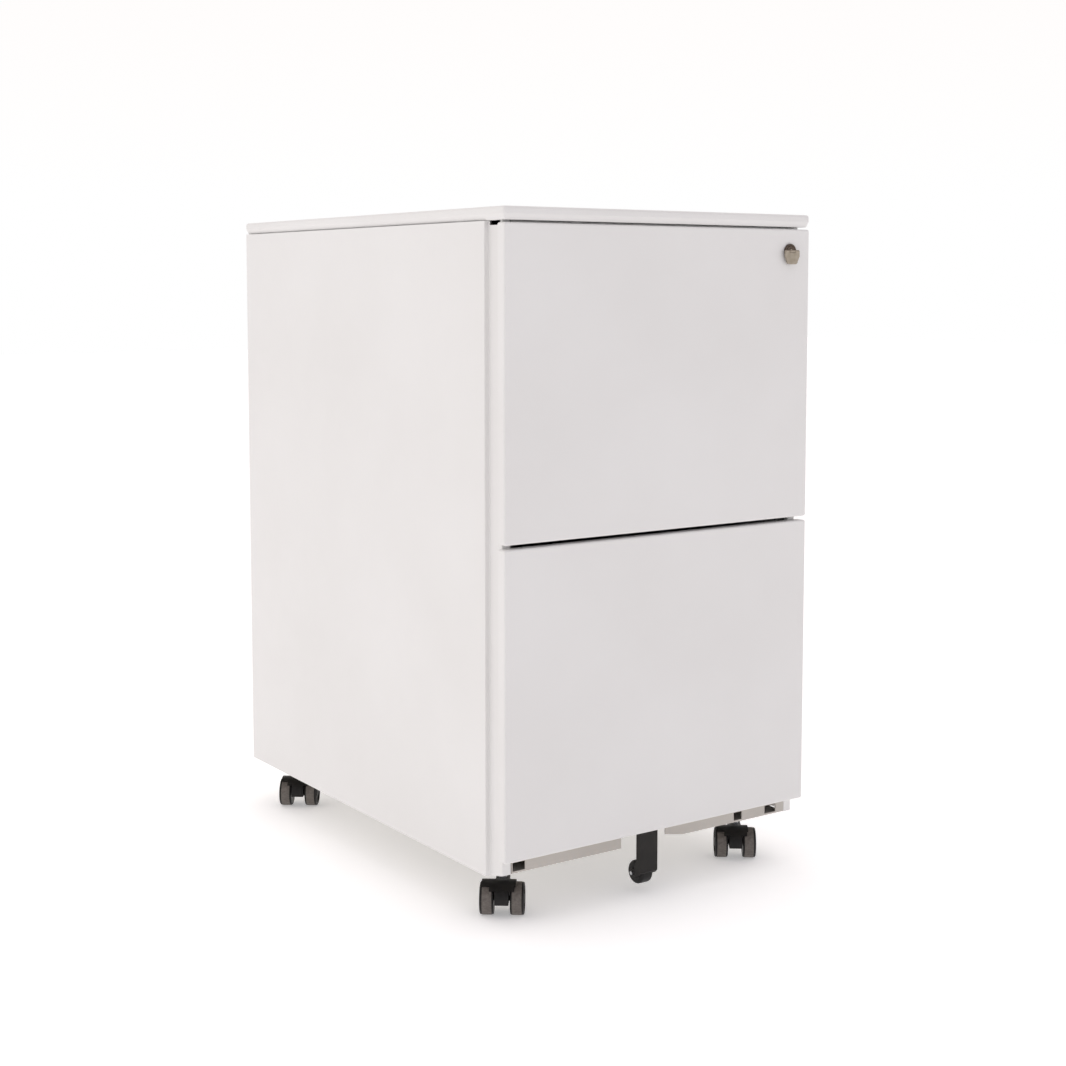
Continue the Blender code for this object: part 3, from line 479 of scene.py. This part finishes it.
def filleted(points, radius, steps=5):
    """An open line whose corners are rounded."""
    line = [Vector(points[0])]
    for before, corner, after in zip(points, points[1:], points[2:]):
        corner = Vector(corner)
        into, out = Vector(before) - corner, Vector(after) - corner
        half = into.angle(out) / 2
        reach = min(radius / tan(half), 0.45 * into.length, 0.45 * out.length)
        start, end = corner + into.normalized() * reach, corner + out.normalized() * reach
        for step in range(steps + 1):
            t = step / steps
            line.append(start * (1 - t) ** 2 + corner * 2 * t * (1 - t) + end * t ** 2)
    line.append(Vector(points[-1]))
    return line


def strip(name, line, low, high):
    """A line of (x, y) points drawn up from low to high, with no thickness yet."""
    count = len(line)
    verts = [(p[0], p[1], level) for level in (low, high) for p in line]
    faces = [(i, i + 1, count + i + 1, count + i) for i in range(count - 1)]
    return mesh_of(name, verts, faces)


def rounded_loop(half_x, half_y, radius, level, steps=4):
    """A rectangle with round corners."""
    points = []
    for x, y, start in ((1, 1, 0), (-1, 1, 90), (-1, -1, 180), (1, -1, 270)):
        for step in range(steps + 1):
            a = radians(start + 90 * step / steps)
            across, along_y = half_x - radius, half_y - radius
            points.append((x * across + radius * cos(a), y * along_y + radius * sin(a), level))
    return points


def pan(name, width, length, profile, corner):
    """A pan in XY with round corners: its face, then a rim that follows (inward, level) points."""
    verts, faces = [], []
    for inward, level in profile:
        half_x, half_y = width / 2 - inward, length / 2 - inward
        verts += rounded_loop(half_x, half_y, max(corner - inward, MIN_CORNER), level)
    around = len(verts) // len(profile)
    faces.append(tuple(range(around)))
    for ring in range(len(profile) - 1):
        for i in range(around):
            j = (i + 1) % around
            base, above = ring * around, (ring + 1) * around
            faces.append((base + i, base + j, above + j, above + i))
    return mesh_of(name, verts, faces)


def lathe(name, profile, steps=48):
    """A (radius, height) line turned about Z. A closed profile makes a ring."""
    verts, faces = [], []
    for step in range(steps):
        a = 2 * pi * step / steps
        verts += [(r * cos(a), r * sin(a), h) for r, h in profile]
    count = len(profile)
    for step in range(steps):
        here, there = step * count, (step + 1) % steps * count
        for i in range(count - 1):
            faces.append((here + i, there + i, there + i + 1, here + i + 1))
    return mesh_of(name, verts, faces, collapse=True)


def round_profile(points, radius, steps=3):
    """A turned piece's profile with its corners rounded."""
    return [(p.x, p.y) for p in filleted(points, radius, steps)]


def outline(name, points, thickness):
    """A flat outline in XY given thickness along Z, centred on Z = 0."""
    half, count = thickness / 2, len(points)
    verts = [(x, y, z) for z in (-half, half) for x, y in points]
    faces = [tuple(reversed(range(count))), tuple(range(count, 2 * count))]
    faces += [(i, (i + 1) % count, count + (i + 1) % count, count + i) for i in range(count)]
    return mesh_of(name, verts, faces)


def join(name, meshes):
    """One mesh from a list of (mesh, matrix)."""
    bm = bmesh.new()
    for data, matrix in meshes:
        part = data.copy()
        part.transform(matrix)
        bm.from_mesh(part)
        bpy.data.meshes.remove(part)
    data = bpy.data.meshes.new(name)
    bm.to_mesh(data)
    bm.free()
    return data


def along(place, direction):
    """A matrix that puts a mesh's +Z along a direction at a place."""
    turn = Vector(direction).to_track_quat("Z", "Y").to_matrix().to_4x4()
    return Matrix.Translation(place) @ turn


def softened_node(name, width, material, steps=2):
    """A CAD node's own shape with welded corners, joined triangles and rounded edges."""
    data = NODES[name].data.copy()
    bm = bmesh.new()
    bm.from_mesh(data)
    bmesh.ops.remove_doubles(bm, verts=bm.verts, dist=WELD)
    bmesh.ops.join_triangles(
        bm, faces=bm.faces, angle_face_threshold=radians(0.5), angle_shape_threshold=radians(60)
    )
    bmesh.ops.recalc_face_normals(bm, faces=bm.faces)
    bm.to_mesh(data)
    bm.free()
    if "custom_normal" in data.attributes:
        data.attributes.remove(data.attributes["custom_normal"])
    obj = soften(new_object(f"{name}_detailed", data), width, steps, 35)
    return piece(shade(obj), material, NODES[name]["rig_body"], name)


# ---- carcass ------------------------------------------------------------------------------------
def quarter(inward, level, radius, steps=5):
    """Profile points of a bend from a flat face over to a rim that drops."""
    angles = [pi / 2 * step / steps for step in range(steps + 1)]
    return [(inward + radius - radius * sin(a), level - radius + radius * cos(a)) for a in angles]


def top_panel():
    width, length = TOP_HIGH.x - TOP_LOW.x, TOP_HIGH.y - TOP_LOW.y
    height = TOP_HIGH.z - TOP_LOW.z
    profile = quarter(0, 0, TOP_BEND)
    profile += [(inward, rise - TOP_FACE) for inward, rise in TOP_KINK]
    profile += [(TOP_SLOPE_IN + inward, rise - height) for inward, rise in TOP_FOOT]
    profile += [(TOP_RETURN, -height)]
    data = pan("top_panel_skin", width, length, profile, TOP_CORNER)
    middle = (TOP_LOW + TOP_HIGH) / 2
    obj = new_object("top_panel_skin", data, Matrix.Translation((middle.x, middle.y, TOP_HIGH.z)))
    thicken(obj, PAN_SHEET)
    shade(obj)
    piece(obj, WHITE, "cabinet", "top_panel")


def side_panel(label, side):
    """One folded sheet: back flange, side, groove and jamb, whose foot slopes down to the plinth."""
    low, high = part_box(f"{label}_side_panel")
    outer = max(abs(low.x), abs(high.x))
    depth = high.y - FRONT_Y
    jamb_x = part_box("top_rail")[1].x + JAMB_GAP
    groove = outer - GROOVE_DEPTH
    line = [
        (outer - SIDE_FLANGE, depth),
        (outer, depth),
        (outer, GROOVE_START),
        (groove, GROOVE_START - GROOVE_LEAN),
        (groove, JAMB_SETBACK),
        (jamb_x, JAMB_SETBACK),
        (jamb_x, JAMB_SETBACK + JAMB_RETURN),
    ]
    points = [(side * p.x, FRONT_Y + p.y) for p in filleted(line, BEND)]
    data = strip(f"{label}_side_skin", points, low.z, high.z)
    for vertex in data.vertices:
        behind = GROOVE_START - (vertex.co.y - FRONT_Y)
        if vertex.co.z < low.z + SHEET and behind > 0 and abs(vertex.co.x) > jamb_x - 0.002:
            share = min(behind / (GROOVE_START - JAMB_SETBACK), 1.0)
            vertex.co.z = low.z + share * (PAN_LOW.z - low.z)
    obj = thicken(new_object(f"{label}_side_skin", data), SHEET)
    land, margin = side * groove, 2 * SHEET
    window = block(
        (land - margin, FRONT_Y + JAMB_SETBACK + margin, high.z - LAND_WINDOW),
        (land + margin, FRONT_Y + GROOVE_START - margin, high.z + SHEET),
    )
    carve(obj, [window])
    soften(obj, CUT_EDGE)
    shade(obj)
    piece(obj, WHITE, "cabinet", f"{label}_side_panel")


def bottom_panel():
    """A pan whose front rim is the plinth, with its slots and the notch over the anti-tip wheel."""
    width, length = PAN_HIGH.x - PAN_LOW.x, PAN_HIGH.y - PAN_LOW.y
    height = PAN_HIGH.z - PAN_LOW.z
    profile = [(inward, -level) for inward, level in quarter(0, 0, BEND)] + [(0.0, height)]
    data = pan("bottom_panel_skin", width, length, profile, PAN_CORNER)
    middle = (PAN_LOW + PAN_HIGH) / 2
    obj = new_object("bottom_panel_skin", data, Matrix.Translation((middle.x, middle.y, PAN_LOW.z)))
    thicken(obj, PAN_SHEET)
    bake(obj)
    front = PAN_LOW.y - middle.y
    half = width / 2
    head = height + OVERCUT
    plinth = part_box("top_rail")[1].x
    cutters = []
    for side in (-1, 1):
        inner, outer = sorted((side * plinth, side * (half + OVERCUT)))
        cutters.append(block((inner, front - OVERCUT, -OVERCUT), (outer, front + PLINTH_SETBACK, head)))
    left, right = NOTCH
    cutters.append(block((left, front + PAN_SHEET, -OVERCUT), (right, front + NOTCH_DEPTH, head)))
    shoulder, rise = NOTCH_SHOULDER
    mouth = [(left, -OVERCUT), (right, -OVERCUT), (right, 0.0), (shoulder, rise), (shoulder, head)]
    cutter = outline("plinth_notch", mouth + [(left, head)], 4 * PAN_SHEET)
    cutter.transform(Matrix.Translation((0, front, 0)) @ Matrix.Rotation(pi / 2, 4, "X"))
    cutters.append(cutter)
    for left, right in PLINTH_SLOTS:
        foot, lintel = SLOT_LEVELS
        cutters.append(block((left, front - OVERCUT, foot), (right, front + 2 * PAN_SHEET, lintel)))
    carve(obj, cutters)
    soften(obj, CUT_EDGE)
    shade(obj)
    # The plinth's darker, beige colour is painted shade from under the drawer fronts.
    piece(obj, PAINTED_SHADE_WHITE, "cabinet", "bottom_panel")


def carcass():
    top_panel()
    for label, side in SIDES:
        side_panel(label, side)
        for end in ("front", "rear"):
            softened_node(f"{label}_{end}_upright", FOLD_EDGE, WHITE)
    bottom_panel()
    softened_node("back_panel", FOLD_EDGE, WHITE)
    softened_node("top_rail", FOLD_EDGE, WHITE)


# ---- drawers ------------------------------------------------------------------------------------
def drawer_front(floor):
    low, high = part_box(f"{floor}_drawer_front")
    width, height, depth = high.x - low.x, high.z - low.z, high.y - low.y
    profile = quarter(0, 0, FRONT_BEND) + [(0.0, -depth)]
    data = pan(f"{floor}_front_skin", width, height, profile, FRONT_CORNER)
    middle = (low + high) / 2
    forward = Matrix.Translation((middle.x, low.y, middle.z)) @ Matrix.Rotation(pi / 2, 4, "X")
    obj = new_object(f"{floor}_front_skin", data, forward)
    thicken(obj, PAN_SHEET)
    bake(obj)
    if floor == "upper":
        place = forward.inverted() @ Vector(JOINTS["lock_turn"]["pos_m"])
        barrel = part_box("lock_barrel")
        radius = (barrel[1].x - barrel[0].x) / 2 - LOCK_HOLE_INSET
        reach = 2 * OVERCUT
        hole = lathe("lock_hole", ((0, -reach), (radius, -reach), (radius, reach), (0, reach)), 32)
        hole.transform(Matrix.Translation(place))
        carve(obj, [hole])
    soften(obj, CUT_EDGE)
    shade(obj)
    piece(obj, WHITE, f"{floor}_drawer", f"{floor}_drawer_front")


def drawers():
    for floor in FLOORS:
        drawer_front(floor)
        for part in ("liner", "tub", "tub_back"):
            softened_node(f"{floor}_drawer_{part}", FOLD_EDGE, WHITE)


def slides():
    for floor in FLOORS:
        for label, _ in SIDES:
            for member in ("cabinet", "middle", "drawer"):
                softened_node(f"{floor}_{label}_{member}_member", FOLD_EDGE, ZINC)


# ---- lock ---------------------------------------------------------------------------------------
def lock():
    # The barrel and the plug are chrome whose dark brown colour is a painted reflection.
    for name in ("lock_barrel", "lock_plug"):
        softened_node(name, SMALL_EDGE, CHROME_PAINTED_REFLECTION)
    for name in ("key_shank", "key_bow"):
        softened_node(name, FOLD_EDGE, KEY_METAL, 3)
    for name in ("lock_nut", "lock_cam", "lock_bar", "lock_bar_lug", "lower_lock_catch"):
        softened_node(name, SMALL_EDGE, ZINC)
    for name in ("upper_bar_guide", "lower_bar_guide"):
        softened_node(name, SHEET / 4, ZINC)
    key_hinge()


def key_hinge():
    """Rolled knuckles along the top of the bow, and the neck's own knuckle between them."""
    hinge = Vector(JOINTS["key_fold"]["pos_m"])
    low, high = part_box("key_bow")
    reach, inner = (high.x - low.x) / 2 - KNUCKLE_INSET, KNUCKLE_HALF + KNUCKLE_GAP
    for name, node_name, spans in (
        ("bow_knuckles", "key_bow", ((-reach, -inner), (inner, reach))),
        ("neck_knuckle", "key_shank", ((-KNUCKLE_HALF, KNUCKLE_HALF),)),
    ):
        rods = []
        for start, end in spans:
            section = ((0, start), (KNUCKLE_RADIUS, start), (KNUCKLE_RADIUS, end), (0, end))
            profile = round_profile(section, KNUCKLE_EDGE)
            rods.append((lathe(name, profile, 28), along(hinge, (1, 0, 0))))
        if node_name == "key_bow":
            half, foot = (high.y - low.y) / 2, KNUCKLE_RADIUS + BOW_WEB
            web = block((-inner, -half, -foot), (inner, half, -KNUCKLE_RADIUS - BOW_WEB_GAP))
            rods.append((web, Matrix.Translation(hinge)))
        obj = shade(new_object(name, join(name, rods)))
        piece(obj, KEY_METAL, NODES[node_name]["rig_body"])


# ---- fixings ------------------------------------------------------------------------------------
def screw_head(radius):
    """A pan-head screw with a cross recess, its seat at Z = 0."""
    height = radius * 0.62
    seat = -0.0002
    crown = ((0.0, height), (radius * 0.45, height), (radius * 0.86, height * 0.72), (radius, height * 0.2))
    profile = round_profile(crown + ((radius, seat), (0.0, seat)), radius * 0.2)
    obj = new_object("screw", lathe("screw", profile, 28))
    long, thin, floor = radius * 0.56, radius * 0.13, height * 0.4
    cross = [
        block((-long, -thin, floor), (long, thin, 2 * height)),
        block((-thin, -long, floor), (thin, long, 2 * height)),
    ]
    data = carve(obj, cross).data
    bpy.data.objects.remove(obj)
    return data


def screws(name, body, direction, radius, places):
    """A set of screws that face one way, as one piece."""
    head = screw_head(radius)
    obj = new_object(name, join(name, [(head, along(Vector(place), direction)) for place in places]))
    piece(shade(obj, 30), ZINC, body)


def back_screws():
    low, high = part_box("back_panel")
    inset_x, inset_z = BACK_SCREW_INSET
    pitch = (high.z - low.z - 2 * inset_z) / (BACK_SCREW_ROWS - 1)
    levels = [low.z + inset_z + pitch * row for row in range(BACK_SCREW_ROWS)]
    places = [(side * (high.x - inset_x), high.y, level) for side in (-1, 1) for level in levels]
    screws("back_screws", "cabinet", (0, 1, 0), BACK_SCREW, places)


def drawer_fixings(floor):
    low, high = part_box(f"{floor}_drawer_liner")
    rows = [low.z + level for level in LINER_SCREW_LEVELS]
    places = [(x, high.y, z) for x in (-LINER_SCREW_X, LINER_SCREW_X) for z in rows]
    screws(f"{floor}_liner_screws", f"{floor}_drawer", (0, 1, 0), LINER_SCREW, places)
    low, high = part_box(f"{floor}_drawer_tub_back")
    inset_x, inset_z = TUB_RIVET_INSET
    face = high.y - SHEET
    rows = (low.z + inset_z, high.z - inset_z)
    places = [(x, face, z) for x in (low.x + inset_x, high.x - inset_x) for z in rows]
    screws(f"{floor}_tub_rivets", f"{floor}_drawer", (0, -1, 0), TUB_RIVET, places)


def stem_screws(corner):
    low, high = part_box(f"{corner}_stem")
    middle, reach = (low + high) / 2, (high.x - low.x) / 2 - STEM_SCREW_INSET
    level = high.z - STEM_SCREW_DROP
    turns = [radians(turn) for turn in STEM_SCREW_TURNS]
    places = [(middle.x + reach * cos(a), middle.y + reach * sin(a), level) for a in turns]
    screws(f"{corner}_stem_screws", "cabinet", (0, 0, -1), STEM_SCREW, places)


def bracket_rivets():
    low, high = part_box("fifth_wheel_bracket")
    middle = (low.x + high.x) / 2
    inset_y, drop = BRACKET_RIVET_INSET
    places = [(middle + x, high.y - inset_y, high.z - drop) for x in (-BRACKET_RIVET_X, BRACKET_RIVET_X)]
    screws("bracket_rivets", "lower_drawer", (0, 0, -1), BRACKET_RIVET, places)


def fixings():
    back_screws()
    for floor in FLOORS:
        drawer_fixings(floor)
    for corner in CORNERS:
        stem_screws(corner)
    bracket_rivets()


def ball_cages():
    """Rows of steel balls between the members of each slide."""
    for floor in FLOORS:
        for label, _ in SIDES:
            name = f"{floor}_{label}"
            low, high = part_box(f"{name}_middle_member")
            middle, half = (low.z + high.z) / 2, (high.z - low.z) / 2
            across = (low.x + high.x) / 2
            start = low.y + BALL_START
            bm = bmesh.new()
            for level in (half + BALL, -half - BALL, half - SLIDE_SHEET - BALL, SLIDE_SHEET + BALL - half):
                for step in range(BALL_COUNT):
                    place = Matrix.Translation((across, start + step * BALL_PITCH, middle + level))
                    bmesh.ops.create_icosphere(bm, subdivisions=2, radius=BALL * BALL_FIT, matrix=place)
            data = bpy.data.meshes.new(f"{name}_balls")
            bm.to_mesh(data)
            bm.free()
            data.shade_smooth()
            piece(new_object(f"{name}_balls", data), ZINC, NODES[f"{name}_middle_member"]["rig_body"])


# ---- casters ------------------------------------------------------------------------------------
def tyre_profile(radius):
    inner, outer, floor = TREAD_START, WHEEL_WIDTH - TREAD_INSET, radius * TREAD_FLOOR
    section = ((floor, inner), (radius, inner), (radius, outer), (floor, outer))
    ring = round_profile(section, TREAD_EDGE, 4)
    return ring + ring[:1]


def hub_profile(radius, name):
    """A disc either side of the tread and a raised cap. The left wheel carries the axle."""
    rim, floor = radius - RIM_INSET, radius * TREAD_SEAT
    outer = WHEEL_WIDTH - TREAD_INSET
    discs = [
        (rim - RIM_EDGE, 0.0),
        (rim, RIM_CHAMFER),
        (rim, TREAD_START),
        (floor, TREAD_SEAT_START),
        (floor, outer),
        (rim, outer),
        (rim, WHEEL_BACK - RIM_EDGE),
        (rim - RIM_SHOULDER, WHEEL_BACK),
    ]
    discs += [(radius * share, WHEEL_BACK + level) for share, level in CAP]
    if name == "left":
        axle = [(0.0, -AXLE_REACH), (AXLE_RADIUS - AXLE_EDGE, -AXLE_REACH)]
        return axle + [(AXLE_RADIUS, -AXLE_REACH + AXLE_EDGE), (AXLE_RADIUS, 0.0)] + discs
    return [(0.0, CAP_BORE_END), (AXLE_BORE, CAP_BORE_END), (AXLE_BORE, 0.0)] + discs


def wheel(name, corner):
    """A hard tread round a black hub with a raised cap."""
    joint = JOINTS[f"{corner}_{name}_roll"]
    node_name = f"{corner}_{name}_wheel"
    low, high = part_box(node_name)
    radius = (high.z - low.z) / 2
    side = -1 if name == "left" else 1
    axis = Vector(joint["axis"]).normalized() * side
    place = along(Vector(joint["pos_m"]) + axis * WHEEL_INNER, axis)
    label = f"{corner}_{name}_tyre"
    tyre = new_object(label, lathe(label, tyre_profile(radius), 56), place)
    piece(shade(tyre, 50), TREAD, node_name, node_name)
    label = f"{corner}_{name}_hub"
    hub = new_object(label, lathe(label, hub_profile(radius, name), 48), place)
    piece(shade(hub), NYLON, node_name)


def stem(corner):
    """A turned stem: flange, collar, bearing and pin, from the bottom panel down into the hood."""
    joint = JOINTS[f"{corner}_swivel"]
    low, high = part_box(f"{corner}_stem")
    flange = (high.x - low.x) / 2
    foot, face = low.z, high.z
    profile = [(0.0, face)] + [(flange + step, face + level) for step, level in STEM_FLANGE]
    profile += [(radius, face + level) for radius, level in STEM_NECK]
    profile += [(radius, foot + level) for radius, level in STEM_PIN] + [(0.0, foot)]
    place = Matrix.Translation((joint["pos_m"][0], joint["pos_m"][1], 0))
    obj = new_object(f"{corner}_stem_turned", lathe(f"{corner}_stem_turned", profile, 40), place)
    piece(shade(obj), ZINC, "cabinet", f"{corner}_stem")


def casters():
    for corner in CORNERS:
        stem(corner)
        softened_node(f"{corner}_hood", HOOD_EDGE, NYLON, 3)
        for name, _ in SIDES:
            wheel(name, corner)


# ---- anti-tip wheel -----------------------------------------------------------------------------
def tip_wheel():
    softened_node("fifth_wheel_bracket", FOLD_EDGE, ENAMEL)
    softened_node("fifth_wheel_axle", FOLD_EDGE, ZINC)
    softened_node("fifth_wheel", TIP_WHEEL_EDGE, NYLON, 4)


# ---- stage --------------------------------------------------------------------------------------
def area_light(name, place, size, power, colour):
    data = bpy.data.lights.new(name, "AREA")
    data.shape = "RECTANGLE"
    data.size, data.size_y = size, size
    data.energy = power
    data.color = colour
    direction = Vector(LIGHT_TARGET) - Vector(place)
    matrix = Matrix.Translation(place) @ direction.to_track_quat("-Z", "Y").to_matrix().to_4x4()
    return new_object(name, data, matrix)


def stage():
    half = FLOOR_HALF
    corners = ((-half, -half, 0), (half, -half, 0), (half, half, 0), (-half, half, 0))
    floor = new_object("studio_floor", mesh_of("studio_floor", corners, [(0, 1, 2, 3)]))
    floor.data.materials.append(stage_floor())
    studio_light()
    area_light("left_key", (-2.4, 0.9, 2.1), size=2.0, power=3.0, colour=(1.0, 0.97, 0.93))
    area_light("top_fill", (0.2, -0.3, 3.2), size=2.4, power=8.0, colour=(1.0, 1.0, 1.0))


def world_node(tree, kind, **settings):
    item = tree.nodes.new(kind)
    for key, value in settings.items():
        setattr(item, key, value)
    return item


def world_share(tree, split, axis, limits):
    """How far a direction lies between two limits along an axis, from 0 to 1."""
    share = world_node(tree, "ShaderNodeMapRange")
    share.inputs["From Min"].default_value, share.inputs["From Max"].default_value = limits
    tree.links.new(split.outputs[axis], share.inputs["Value"])
    return share


def studio_light():
    """A white room that is dimmer and cooler high up in front of the drawers, and warmer behind."""
    world = bpy.data.worlds.new("studio_light")
    world.use_nodes = True
    tree = world.node_tree
    sky = tree.nodes["Background"]
    place = world_node(tree, "ShaderNodeTexCoord")
    split = world_node(tree, "ShaderNodeSeparateXYZ")
    tree.links.new(place.outputs["Generated"], split.inputs["Vector"])
    depth = world_share(tree, split, "Y", ROOM_DEPTH)
    height = world_share(tree, split, "Z", ROOM_HEIGHT)
    across = world_node(tree, "ShaderNodeMix", data_type="RGBA")
    across.inputs["A"].default_value = ROOM_FRONT
    across.inputs["B"].default_value = ROOM_BACK
    tree.links.new(depth.outputs["Result"], across.inputs["Factor"])
    up = world_node(tree, "ShaderNodeMix", data_type="RGBA")
    up.inputs["A"].default_value = ROOM_HORIZON
    tree.links.new(height.outputs["Result"], up.inputs["Factor"])
    tree.links.new(across.outputs["Result"], up.inputs["B"])
    tree.links.new(up.outputs["Result"], sky.inputs["Color"])
    sky.inputs["Strength"].default_value = 1.0
    bpy.context.scene.world = world


def camera():
    data = bpy.data.cameras.new("photo_view")
    data.sensor_fit = "HORIZONTAL"
    data.sensor_width = SENSOR
    data.lens = CAMERA_LENS * SENSOR
    data.shift_y = CAMERA_SHIFT
    matrix = Matrix.Translation(CAMERA_PLACE) @ Matrix.Rotation(-CAMERA_YAW, 4, "Z")
    matrix = matrix @ Matrix.Rotation(pi / 2 - CAMERA_PITCH, 4, "X")
    bpy.context.scene.camera = new_object("photo_view", data, matrix)
    bpy.context.scene.view_settings.view_transform = "Standard"


carcass()
drawers()
slides()
lock()
casters()
tip_wheel()
fixings()
ball_cages()
stage()
camera()
